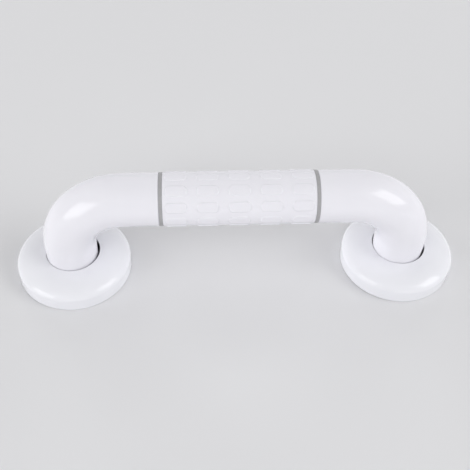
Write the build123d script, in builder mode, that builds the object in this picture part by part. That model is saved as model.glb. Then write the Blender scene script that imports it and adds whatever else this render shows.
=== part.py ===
from build123d import *
import math
import os

# Wall-mounted grab bar: a straight padded grip between two elbows, each on a round covered flange.
# Millimetres. The wall is the plane z = 0, the bar runs along X and stands off the wall along +Z.
# The origin is on the wall, midway between the two legs.

# Run of the bar
tube_diameter = 35.0      # outside of sleeve, rings and elbows
sleeve_length = 98.5      # of the padded grip
ring_width = 2.1          # of the spacer ring between grip and elbow
elbow_run = 23.65         # straight part of the elbow along the bar
bend_radius = 39.0        # of the elbow's centre line
leg_above_cover = 10.6    # straight part of the leg on which the cover can slide up
edge_break = 0.5          # on the ends of sleeve and elbows and on the rims of the steel pieces

# Raised pads of the grip
pad_length = 14.6         # along the bar, at the pad's foot
pad_width = 8.3           # across the bar, at the pad's foot
pad_column_pitch = 20.3   # along the bar
pad_row_pitch = 10.9      # round the sleeve, at least
pad_corner = 2.4
pad_height = 0.45         # above the sleeve
pad_root = 0.5            # from the sleeve's surface down to the pad's foot
pad_draft = 45.0          # slope of the pad's sides, in degrees
pad_turn = 28.0           # turn of the sleeve about the bar, in degrees

# Core tube
grip_wall = 4.85          # of sleeve, rings and sockets round the tube
core_wall = 1.5
core_clearance = 0.15     # round the tube in sleeve, rings and sockets, and at the lock screw's tip
socket_end_gap = 0.3      # between the tube's end and the end of its socket
socket_shoulder = 1.5     # step from the tube's outside down to the hollow of the elbow

# Flange cover, loose on the leg
cover_top_width = 4.5     # flat ring round the leg
cover_crown_width = 16.0  # elliptic fall from the flat ring to the rim, across
cover_crown_height = 8.0  # and its height
cover_wall = 8.4          # upright rim below the crown
cover_thickness = 2.5
cover_hole_round = 0.6    # of the top edge round the leg
cover_foot_round = 0.2    # of the rim's edge on the wall
cover_clearance = 1.0     # round the leg
cover_least_gap = 0.3     # to the leg, on the side where the cover lies nearest
left_cover_lean = 34.0    # direction in which the cover lies off the leg's axis, in degrees from the bar
right_cover_lean = 43.0

# Base plate
plate_thickness = 3.0
plate_clearance = 0.55    # between the plate's rim and the cover, where they are nearest
plate_centre_hole = 14.0
wall_hole_diameter = 6.5
wall_hole_count = 3
wall_hole_turn = 90.0     # direction of the first hole, in degrees from the bar

# Countersunk screws between base plate and elbow
foot_screw_count = 3
foot_screw_turn = 30.0    # direction of the first screw, in degrees from the bar
foot_screw_diameter = 4.0
foot_screw_length = 14.0
foot_hole_spare = 2.0     # of the hole beyond the screw's tip
foot_head_flare = 1.8     # of the head beyond the shank, and the height of its cone
foot_head_inset = 0.1     # of the head below the plate's wall face
foot_drive_width = 2.5
foot_drive_depth = 1.2
screw_clearance = 0.1     # round every screw

# Set screw that locks the core tube in the elbow, halfway along its socket
lock_diameter = 5.0
lock_inset = 0.4          # below the elbow's surface
lock_drive_width = 2.5
lock_drive_depth = 2.0

# Worked out from the sizes above
tube_radius = tube_diameter / 2
cover_height = cover_wall + cover_crown_height
leg_height = cover_height + leg_above_cover
elbow_end = sleeve_length / 2 + ring_width
leg_axis_x = elbow_end + elbow_run + bend_radius
axis_height = leg_height + bend_radius
pad_columns = int((sleeve_length - pad_length) / pad_column_pitch) + 1
pad_rows = int(math.pi * tube_diameter / pad_row_pitch)
core_hole_radius = tube_radius - grip_wall
core_radius = core_hole_radius - core_clearance
core_length = 2 * (elbow_end + elbow_run - socket_end_gap)
elbow_bore_radius = core_radius - socket_shoulder
cover_hole_radius = tube_radius + cover_clearance
cover_crown_radius = cover_hole_radius + cover_top_width
cover_radius = cover_crown_radius + cover_crown_width
cover_shift = cover_clearance - cover_least_gap
plate_radius = cover_radius - cover_thickness - cover_shift - plate_clearance
wall_hole_circle_radius = (tube_radius + plate_radius) / 2
foot_screw_circle_radius = (tube_radius + elbow_bore_radius) / 2
foot_hole_radius = foot_screw_diameter / 2 + screw_clearance
foot_head_radius = foot_screw_diameter / 2 + foot_head_flare
lock_length = tube_radius - core_radius - lock_inset - core_clearance
bar_plane = Plane(origin=(0, 0, axis_height), x_dir=(0, 0, 1), z_dir=(1, 0, 0))


def keep(piece, name):
    """Labels a finished piece and writes it to its own file."""
    piece.part.label = name
    export_step(piece.part, f"parts/{name}.step")


os.makedirs("parts", exist_ok=True)

# One raised pad, standing on the +X side of an upright sleeve
with BuildPart() as pad:
    with BuildSketch(Plane.YZ.offset(tube_radius - pad_root)) as pad_foot:
        Rectangle(pad_width, pad_length)
        chamfer(pad_foot.vertices(), pad_corner)
    extrude(amount=pad_root + pad_height, taper=pad_draft)
    Cylinder(tube_radius + pad_height, pad_length, mode=Mode.INTERSECT)

# Grip sleeve: rings of pads, one ring to a column
middle_column = (pad_columns - 1) / 2
column_places = [(0, 0, (i - middle_column) * pad_column_pitch) for i in range(pad_columns)]
with BuildPart(bar_plane) as grip_sleeve:
    Cylinder(tube_radius, sleeve_length)
    chamfer(grip_sleeve.edges().filter_by(GeomType.CIRCLE), edge_break)
    with Locations(*column_places):
        with PolarLocations(0, pad_rows, start_angle=pad_turn):
            add(pad.part)
    Hole(core_hole_radius)
keep(grip_sleeve, "grip_sleeve")

# Core tube, from socket to socket
with BuildPart(bar_plane) as core_tube:
    Cylinder(core_radius, core_length)
    Hole(core_radius - core_wall)
    chamfer(core_tube.edges().filter_by(GeomType.CIRCLE).group_by(SortBy.RADIUS)[-1], edge_break)
keep(core_tube, "core_tube")

# One countersunk screw, the face of its head on the XY plane
with BuildPart() as foot_screw:
    Cone(
        foot_head_radius,
        foot_screw_diameter / 2,
        foot_head_flare,
        align=(Align.CENTER, Align.CENTER, Align.MIN),
    )
    Cylinder(
        foot_screw_diameter / 2,
        foot_screw_length,
        align=(Align.CENTER, Align.CENTER, Align.MIN),
    )
    chamfer(foot_screw.edges().sort_by(Axis.Z)[-1], edge_break)
    with BuildSketch():
        RegularPolygon(foot_drive_width / 2, 6, major_radius=False)
    extrude(amount=foot_drive_depth, mode=Mode.SUBTRACT)

for side, sign, cover_lean in (("left", -1, left_cover_lean), ("right", 1, right_cover_lean)):
    leg_x = sign * leg_axis_x
    lock_x = sign * (elbow_end + elbow_run / 2)
    wall_plane = Plane(origin=(leg_x, 0, 0))
    back_plane = Plane(origin=(leg_x, 0, 0), x_dir=(1, 0, 0), z_dir=(0, 0, -1))
    foot_plane = back_plane.offset(-plate_thickness)
    socket_plane = Plane(origin=(sign * elbow_end, 0, axis_height), z_dir=(-sign, 0, 0))
    lock_plane = Plane(origin=(lock_x, 0, axis_height - tube_radius), z_dir=(0, 0, -1))

    # Spacer ring between sleeve and elbow
    with BuildPart() as ring:
        with BuildSketch(socket_plane):
            Circle(tube_radius)
            Circle(core_hole_radius, mode=Mode.SUBTRACT)
        extrude(amount=ring_width)
    keep(ring, f"{side}_ring")

    # Elbow: leg, bend and run, hollow, with a socket for the core tube
    with BuildPart() as elbow:
        with BuildLine(Plane.XZ) as route:
            FilletPolyline(
                (leg_x, plate_thickness),
                (leg_x, axis_height),
                (sign * elbow_end, axis_height),
                radius=bend_radius,
            )
        with BuildSketch(wall_plane.offset(plate_thickness)):
            Circle(tube_radius)
            Circle(elbow_bore_radius, mode=Mode.SUBTRACT)
        sweep(path=route.line)
        socket_face = elbow.faces().filter_by(Axis.X)[0]
        chamfer(socket_face.edges().sort_by(SortBy.RADIUS)[-1], edge_break)
        with Locations(socket_plane):
            Hole(core_hole_radius, depth=elbow_run)
        with Locations(lock_plane):
            Hole(lock_diameter / 2 + screw_clearance, depth=tube_radius - core_radius)
        with Locations(foot_plane):
            with PolarLocations(foot_screw_circle_radius, foot_screw_count, start_angle=-foot_screw_turn):
                Hole(foot_hole_radius, depth=foot_screw_length - plate_thickness + foot_hole_spare)
    keep(elbow, f"{side}_elbow")

    # Set screw in the wall side of the elbow
    with BuildPart() as lock_screw:
        with BuildSketch(lock_plane.offset(-lock_inset)):
            Circle(lock_diameter / 2)
        extrude(amount=-lock_length)
        with BuildSketch(lock_plane.offset(-lock_inset)):
            RegularPolygon(lock_drive_width / 2, 6, major_radius=False)
        extrude(amount=-lock_drive_depth, mode=Mode.SUBTRACT)
    keep(lock_screw, f"{side}_lock_screw")

    # Base plate, drilled for the wall screws and countersunk from the wall side for the foot screws
    with BuildPart() as base_plate:
        with BuildSketch(wall_plane):
            Circle(plate_radius)
        extrude(amount=plate_thickness)
        chamfer(base_plate.edges().filter_by(GeomType.CIRCLE), edge_break)
        with Locations(back_plane):
            Hole(plate_centre_hole / 2)
            with PolarLocations(wall_hole_circle_radius, wall_hole_count, start_angle=-wall_hole_turn):
                Hole(wall_hole_diameter / 2)
            with PolarLocations(foot_screw_circle_radius, foot_screw_count, start_angle=-foot_screw_turn):
                CounterSinkHole(
                    foot_hole_radius,
                    foot_head_radius + foot_head_inset + screw_clearance,
                    counter_sink_angle=90,
                )
    keep(base_plate, f"{side}_base_plate")

    # Screws that hold the plate to the foot of the elbow
    with BuildPart(wall_plane.offset(foot_head_inset)) as foot_screws:
        with PolarLocations(foot_screw_circle_radius, foot_screw_count, start_angle=foot_screw_turn):
            add(foot_screw.part)
    keep(foot_screws, f"{side}_foot_screws")

    # Flange cover: a domed shell turned about its own axis, with a hole for the leg
    cover_x = leg_x + cover_shift * math.cos(math.radians(cover_lean))
    cover_y = cover_shift * math.sin(math.radians(cover_lean))
    cover_plane = Plane(origin=(cover_x, cover_y, 0), x_dir=(1, 0, 0), z_dir=(0, -1, 0))
    with BuildPart() as cover:
        with BuildSketch(cover_plane) as section:
            with BuildLine():
                outer_crown = EllipticalCenterArc(
                    (cover_crown_radius, cover_wall),
                    cover_crown_width,
                    cover_crown_height,
                    arc_size=90,
                )
                inner_crown = EllipticalCenterArc(
                    (cover_crown_radius, cover_wall),
                    cover_crown_width - cover_thickness,
                    cover_crown_height - cover_thickness,
                    arc_size=90,
                )
                Polyline(
                    outer_crown @ 1,
                    (cover_hole_radius, cover_height),
                    (cover_hole_radius, cover_height - cover_thickness),
                    inner_crown @ 1,
                )
                Polyline(
                    outer_crown @ 0,
                    (cover_radius, 0),
                    (cover_radius - cover_thickness, 0),
                    inner_crown @ 0,
                )
            make_face()
            foot_corner = section.vertices().group_by(Axis.Y)[0].sort_by(Axis.X)[-1]
            hole_corner = section.vertices().group_by(Axis.X)[0].sort_by(Axis.Y)[-1]
            fillet(foot_corner, cover_foot_round)
            fillet(hole_corner, cover_hole_round)
        revolve(axis=Axis(cover_plane.origin, (0, 0, 1)))
    keep(cover, f"{side}_cover")
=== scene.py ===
import math

import bpy
import numpy as np
from mathutils import Matrix, Vector


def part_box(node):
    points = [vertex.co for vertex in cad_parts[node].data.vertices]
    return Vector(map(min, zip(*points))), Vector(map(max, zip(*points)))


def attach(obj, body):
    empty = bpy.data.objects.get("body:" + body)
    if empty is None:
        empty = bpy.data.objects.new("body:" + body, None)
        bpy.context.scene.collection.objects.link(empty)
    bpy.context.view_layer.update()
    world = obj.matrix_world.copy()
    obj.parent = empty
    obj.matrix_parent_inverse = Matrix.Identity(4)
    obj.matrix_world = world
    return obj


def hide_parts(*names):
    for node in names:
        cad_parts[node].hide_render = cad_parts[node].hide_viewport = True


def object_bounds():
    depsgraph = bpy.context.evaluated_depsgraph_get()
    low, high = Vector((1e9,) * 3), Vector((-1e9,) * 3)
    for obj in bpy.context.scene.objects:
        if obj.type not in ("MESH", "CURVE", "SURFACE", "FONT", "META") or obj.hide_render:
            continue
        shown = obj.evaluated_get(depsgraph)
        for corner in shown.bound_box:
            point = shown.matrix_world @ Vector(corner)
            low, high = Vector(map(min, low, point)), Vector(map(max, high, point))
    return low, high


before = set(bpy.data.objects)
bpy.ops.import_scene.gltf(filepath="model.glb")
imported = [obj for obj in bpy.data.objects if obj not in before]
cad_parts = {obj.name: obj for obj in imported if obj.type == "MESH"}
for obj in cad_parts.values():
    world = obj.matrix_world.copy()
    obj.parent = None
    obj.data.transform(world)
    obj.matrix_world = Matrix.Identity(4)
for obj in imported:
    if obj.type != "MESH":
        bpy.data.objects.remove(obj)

CAD_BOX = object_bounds()
MM = 0.001

# Camera: its place in metres, its directions, and its focal length in pixels of the square picture
IMAGE_SIZE = 470
FOCAL_PIXELS = 771.845
SENSOR_MM = 36.0
EYE = Vector((-0.028016, -0.350700, 0.426651))
YAW = math.radians(4.336)
PITCH = math.radians(-48.478)
ROLL = math.radians(2.090)
NEAREST = 10 * MM

# Grip sleeve: rows of raised pads on a tube, which lies loosely on the core
CORE_CLEARANCE = 0.15 * MM
SLEEVE_EDGE = 0.5 * MM
PAD_ROWS = 10
PAD_COLUMNS = 5
PAD_PITCH = 20.3 * MM
PAD_LENGTH = 14.3 * MM
PAD_WIDTH = 7.4 * MM
PAD_CORNER = 3.0 * MM
PAD_HEIGHT = 0.445 * MM
PAD_FLANK = 0.6 * MM
PAD_TURN = math.radians(28.0)

# Steps of the sleeve's mesh: to a pad's corner, over the corner, up the flank and to the valley's middle.
# Then the steps round an end's edge, and how close to it the last station may lie.
STEPS_ALONG = (2, 9, 4, 2)
STEPS_ROUND = (1, 9, 4, 2)
STEPS_EDGE = 4
LEAST_STEP = 0.01 * MM
SHARP_ANGLE = math.radians(40)

# Range of the noise patterns that the finishes use
NOISE_LOW = 0.3
NOISE_HIGH = 0.7

# Studio light: boxes round the object, by azimuth from the far side and elevation, in degrees and metres.
# The keys also show in the gloss; the fills only brighten.
WORLD_STRENGTH = 0.325
LIGHT_CENTRE = Vector((0.0, 0.0, 0.05))
SOFTBOX_DISTANCE = 5.6
KEYS = {
    "key_left": {"azimuth": -124, "elevation": 17, "width": 3.6, "height": 3.4, "radiance": 2.27},
    "key_right": {"azimuth": 115, "elevation": 30.5, "width": 3.2, "height": 3.8, "radiance": 2.40},
}
FILLS = {
    "front_high": {"azimuth": -160, "elevation": 45, "width": 2.8, "height": 2.8, "radiance": 1.68},
    "front_low": {"azimuth": -152, "elevation": 7, "width": 3.6, "height": 1.6, "radiance": 0.75},
    "side_left": {"azimuth": -70, "elevation": 10, "width": 2.8, "height": 2.8, "radiance": 2.90},
    "side_right": {"azimuth": 70, "elevation": 10, "width": 2.8, "height": 2.8, "radiance": 2.75},
    "right_high": {"azimuth": 95, "elevation": 45, "width": 2.8, "height": 2.8, "radiance": 1.04},
    "rear_left": {"azimuth": -25, "elevation": 10, "width": 2.8, "height": 2.8, "radiance": 1.94},
    "rear_right": {"azimuth": 25, "elevation": 10, "width": 2.8, "height": 2.8, "radiance": 1.32},
    "rear_high": {"azimuth": 0, "elevation": 45, "width": 2.8, "height": 2.8, "radiance": 0.64},
}

FLOOR_SIZE = 4.0
FLOOR_GAP = 0.3 * MM


def new_material(name):
    """An empty node material with its shader and object coordinates."""
    material = bpy.data.materials.new(name)
    material.use_nodes = True
    tree = material.node_tree
    shader = tree.nodes["Principled BSDF"]
    coordinates = tree.nodes.new("ShaderNodeTexCoord")
    return material, tree, shader, coordinates.outputs["Object"]


def noise(tree, place, scale, detail=2.0, stretch=(1.0, 1.0, 1.0)):
    """A noise pattern of that many cells a metre, stretched along the axes."""
    mapping = tree.nodes.new("ShaderNodeMapping")
    mapping.inputs["Scale"].default_value = stretch
    tree.links.new(place, mapping.inputs["Vector"])
    node = tree.nodes.new("ShaderNodeTexNoise")
    node.inputs["Scale"].default_value = scale
    node.inputs["Detail"].default_value = detail
    tree.links.new(mapping.outputs["Vector"], node.inputs["Vector"])
    return node.outputs["Fac"]


def colour_between(tree, factor, dark, light):
    """Two colours mixed by a pattern."""
    ramp = tree.nodes.new("ShaderNodeValToRGB")
    ramp.color_ramp.elements[0].position = NOISE_LOW
    ramp.color_ramp.elements[0].color = (*dark, 1.0)
    ramp.color_ramp.elements[1].position = NOISE_HIGH
    ramp.color_ramp.elements[1].color = (*light, 1.0)
    tree.links.new(factor, ramp.inputs["Fac"])
    return ramp.outputs["Color"]


def value_between(tree, factor, low, high):
    """A pattern brought into a range."""
    node = tree.nodes.new("ShaderNodeMapRange")
    node.inputs["From Min"].default_value = NOISE_LOW
    node.inputs["From Max"].default_value = NOISE_HIGH
    node.inputs["To Min"].default_value = low
    node.inputs["To Max"].default_value = high
    tree.links.new(factor, node.inputs["Value"])
    return node.outputs["Result"]


def bump(tree, shader, height, depth, strength):
    """Raises the surface by a pattern, depth in metres."""
    node = tree.nodes.new("ShaderNodeBump")
    node.inputs["Strength"].default_value = strength
    node.inputs["Distance"].default_value = depth
    tree.links.new(height, node.inputs["Height"])
    tree.links.new(node.outputs["Normal"], shader.inputs["Normal"])


def white_plastic(name, dark, light):
    """Glossy moulded white with a slight orange peel."""
    material, tree, shader, place = new_material(name)
    flow = noise(tree, place, 45.0, detail=3.0)
    tree.links.new(colour_between(tree, flow, dark, light), shader.inputs["Base Color"])
    gloss = value_between(tree, noise(tree, place, 160.0), 0.08, 0.12)
    tree.links.new(gloss, shader.inputs["Roughness"])
    shader.inputs["Specular IOR Level"].default_value = 0.46
    bump(tree, shader, noise(tree, place, 650.0, detail=1.0), 0.02 * MM, 0.25)
    return material


def grey_plastic():
    """Satin grey of the spacer rings."""
    material, tree, shader, place = new_material("grey_plastic")
    grain = noise(tree, place, 900.0, detail=3.0)
    colour = colour_between(tree, grain, (0.362, 0.359, 0.370), (0.402, 0.399, 0.410))
    tree.links.new(colour, shader.inputs["Base Color"])
    tree.links.new(value_between(tree, grain, 0.42, 0.55), shader.inputs["Roughness"])
    bump(tree, shader, grain, 0.03 * MM, 0.3)
    return material


def brushed_steel(name, stretch, dark, light):
    """Steel with fine lines across one direction."""
    material, tree, shader, place = new_material(name)
    shader.inputs["Metallic"].default_value = 1.0
    lines = noise(tree, place, 220.0, detail=4.0, stretch=stretch)
    tree.links.new(colour_between(tree, lines, dark, light), shader.inputs["Base Color"])
    tree.links.new(value_between(tree, lines, 0.26, 0.42), shader.inputs["Roughness"])
    bump(tree, shader, lines, 0.02 * MM, 0.25)
    return material


def floor_material():
    """Plain pale surface."""
    material, tree, shader, place = new_material("pale_floor")
    cloud = noise(tree, place, 3.0, detail=3.0)
    colour = colour_between(tree, cloud, (0.735, 0.735, 0.750), (0.745, 0.745, 0.760))
    tree.links.new(colour, shader.inputs["Base Color"])
    shader.inputs["Roughness"].default_value = 0.6
    return material


def between(stops, steps):
    """Places from the first stop to the last, with a number of even steps from each stop to the next."""
    spans = zip(stops, stops[1:], steps)
    places = [np.linspace(start, end, count, endpoint=False) for start, end, count in spans]
    return np.concatenate([*places, stops[-1:]])


def both_ways(half):
    """Places from zero outward, mirrored to the other side as well."""
    return np.concatenate([-half[:0:-1], half])


def pad_rise(along, across):
    """Share of the pads' height at a distance along and across from the middle of the nearest pad."""
    past_x = np.abs(along) - (PAD_LENGTH / 2 - PAD_CORNER)
    past_y = np.abs(across) - (PAD_WIDTH / 2 - PAD_CORNER)
    corner = np.hypot(np.maximum(past_x, 0), np.maximum(past_y, 0))
    from_foot = PAD_CORNER - corner - np.minimum(np.maximum(past_x, past_y), 0)
    climb = np.clip(from_foot / PAD_FLANK, 0, 1)
    return climb * climb * (3 - 2 * climb)


def sleeve_stations(half_length):
    """Places along the sleeve at which its outside is sampled, closer together at the pads' ends."""
    half = PAD_LENGTH / 2
    stops = [0.0, half - PAD_CORNER, half - PAD_FLANK, half, PAD_PITCH / 2]
    period = both_ways(between(stops, STEPS_ALONG))
    columns = (np.arange(PAD_COLUMNS) - (PAD_COLUMNS - 1) / 2) * PAD_PITCH
    every = np.unique(np.round(np.concatenate([period + column for column in columns]), 9))
    limit = half_length - SLEEVE_EDGE
    return np.concatenate([[-limit], every[np.abs(every) < limit - LEAST_STEP], [limit]])


def sleeve_angles(radius):
    """Directions round the sleeve, from upright towards the front, closer together at the pads' sides."""
    pitch = 2 * math.pi / PAD_ROWS
    half = PAD_WIDTH / 2
    stops = [0.0, (half - PAD_CORNER) / radius, (half - PAD_FLANK) / radius, half / radius, pitch / 2]
    period = both_ways(between(stops, STEPS_ROUND))[:-1]
    from_row = np.tile(period, PAD_ROWS)
    rows = np.repeat(np.arange(PAD_ROWS) * pitch, len(period))
    return from_row + rows + PAD_TURN, from_row


def grip_sleeve(material):
    """The padded sleeve as a fine closed mesh with softly rounded pads."""
    low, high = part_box("grip_sleeve")
    ring_low, ring_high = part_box("left_ring")
    core_low, core_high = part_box("core_tube")
    half_length = (high.x - low.x) / 2
    axis_z = (ring_low.z + ring_high.z) / 2
    radius = (ring_high.z - ring_low.z) / 2
    bore = (core_high.z - core_low.z) / 2 + CORE_CLEARANCE
    angles, from_row = sleeve_angles(radius)
    count = len(angles)

    edge_turns = np.linspace(0, math.pi / 2, STEPS_EDGE, endpoint=False)
    edge = [
        (half_length - SLEEVE_EDGE * (1 - math.cos(turn)), radius - SLEEVE_EDGE * (1 - math.sin(turn)))
        for turn in edge_turns
    ]
    rings = [(-half_length, np.full(count, bore))]
    rings += [(-x, np.full(count, r)) for x, r in edge]
    middle = (PAD_COLUMNS - 1) / 2
    for x in sleeve_stations(half_length):
        column = np.clip(np.round(x / PAD_PITCH + middle), 0, PAD_COLUMNS - 1) - middle
        rise = pad_rise(x - column * PAD_PITCH, from_row * radius)
        rings.append((x, radius + PAD_HEIGHT * rise))
    rings += [(x, np.full(count, r)) for x, r in reversed(edge)]
    rings.append((half_length, np.full(count, bore)))

    points = []
    faces = []
    for i, (x, radii) in enumerate(rings):
        points += zip(np.full(count, x), -radii * np.sin(angles), axis_z + radii * np.cos(angles))
        here = i * count
        there = (i + 1) % len(rings) * count
        for k in range(count):
            m = (k + 1) % count
            faces.append((here + k, here + m, there + m, there + k))
    mesh = bpy.data.meshes.new("grip_sleeve_soft")
    mesh.from_pydata(points, [], faces)
    mesh.polygons.foreach_set("use_smooth", [True] * len(faces))
    mesh.set_sharp_from_angle(angle=SHARP_ANGLE)
    mesh.materials.append(material)
    sleeve = bpy.data.objects.new("grip_sleeve_soft", mesh)
    bpy.context.scene.collection.objects.link(sleeve)
    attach(sleeve, "bar")
    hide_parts("grip_sleeve")


def dress(node, material):
    """Gives a CAD node its finish."""
    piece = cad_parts[node]
    piece.data.materials.clear()
    piece.data.materials.append(material)


def make_camera():
    """Camera at the photograph's place and angle."""
    level_reach = math.cos(PITCH)
    forward = Vector((math.sin(YAW) * level_reach, math.cos(YAW) * level_reach, math.sin(PITCH)))
    level = Vector((math.cos(YAW), -math.sin(YAW), 0.0))
    upright = level.cross(forward)
    right = level * math.cos(ROLL) + upright * math.sin(ROLL)
    up = upright * math.cos(ROLL) - level * math.sin(ROLL)
    data = bpy.data.cameras.new("camera")
    data.sensor_width = SENSOR_MM
    data.lens = FOCAL_PIXELS * SENSOR_MM / IMAGE_SIZE
    data.clip_start = NEAREST
    camera = bpy.data.objects.new("camera", data)
    turn = Matrix((right, up, -forward)).transposed().to_4x4()
    camera.matrix_world = Matrix.Translation(EYE) @ turn
    bpy.context.scene.collection.objects.link(camera)
    bpy.context.scene.camera = camera


def make_floor():
    """Pale floor on which the object lies with its wall side down."""
    half = FLOOR_SIZE / 2
    mesh = bpy.data.meshes.new("floor")
    corners = [(-half, -half, 0), (half, -half, 0), (half, half, 0), (-half, half, 0)]
    mesh.from_pydata(corners, [], [(0, 1, 2, 3)])
    mesh.materials.append(floor_material())
    floor = bpy.data.objects.new("floor", mesh)
    floor.location.z = CAD_BOX[0][2] - FLOOR_GAP
    bpy.context.scene.collection.objects.link(floor)


def make_softbox(name, azimuth, elevation, width, height, radiance):
    """A rectangular light that faces the object from a direction, as bright all over as its radiance says."""
    turn = math.radians(azimuth)
    rise = math.radians(elevation)
    level_reach = math.cos(rise)
    direction = Vector((math.sin(turn) * level_reach, math.cos(turn) * level_reach, math.sin(rise)))
    data = bpy.data.lights.new(name, "AREA")
    data.shape = "RECTANGLE"
    data.size = width
    data.size_y = height
    data.energy = 4 * radiance * width * height
    light = bpy.data.objects.new(name, data)
    light.location = LIGHT_CENTRE + direction * SOFTBOX_DISTANCE
    light.rotation_euler = direction.to_track_quat("Z", "Y").to_euler()
    bpy.context.scene.collection.objects.link(light)
    return light


def make_world():
    """Even white light from all round."""
    world = bpy.data.worlds.new("studio")
    world.use_nodes = True
    background = world.node_tree.nodes["Background"]
    background.inputs["Color"].default_value = (1.0, 1.0, 1.0, 1.0)
    background.inputs["Strength"].default_value = WORLD_STRENGTH
    bpy.context.scene.world = world


bpy.context.scene.view_settings.view_transform = "Standard"
white = white_plastic("white_plastic", (0.811, 0.804, 0.854), (0.827, 0.820, 0.868))
cover_white = white_plastic("cover_white", (0.812, 0.815, 0.857), (0.828, 0.831, 0.871))
grey = grey_plastic()
core_steel = brushed_steel("core_steel", (0.05, 1.0, 1.0), (0.56, 0.56, 0.57), (0.66, 0.66, 0.66))
plate_steel = brushed_steel("plate_steel", (0.06, 1.0, 1.0), (0.60, 0.60, 0.61), (0.70, 0.70, 0.70))
screw_steel = brushed_steel("screw_steel", (1.0, 1.0, 0.2), (0.52, 0.52, 0.53), (0.62, 0.62, 0.62))

grip_sleeve(white)
dress("core_tube", core_steel)
for side in ("left", "right"):
    dress(f"{side}_elbow", white)
    dress(f"{side}_cover", cover_white)
    dress(f"{side}_ring", grey)
    dress(f"{side}_base_plate", plate_steel)
    dress(f"{side}_foot_screws", screw_steel)
    dress(f"{side}_lock_screw", screw_steel)
make_camera()
make_floor()
for name, box in KEYS.items():
    make_softbox(name, **box)
for name, box in FILLS.items():
    make_softbox(name, **box).visible_glossy = False
make_world()
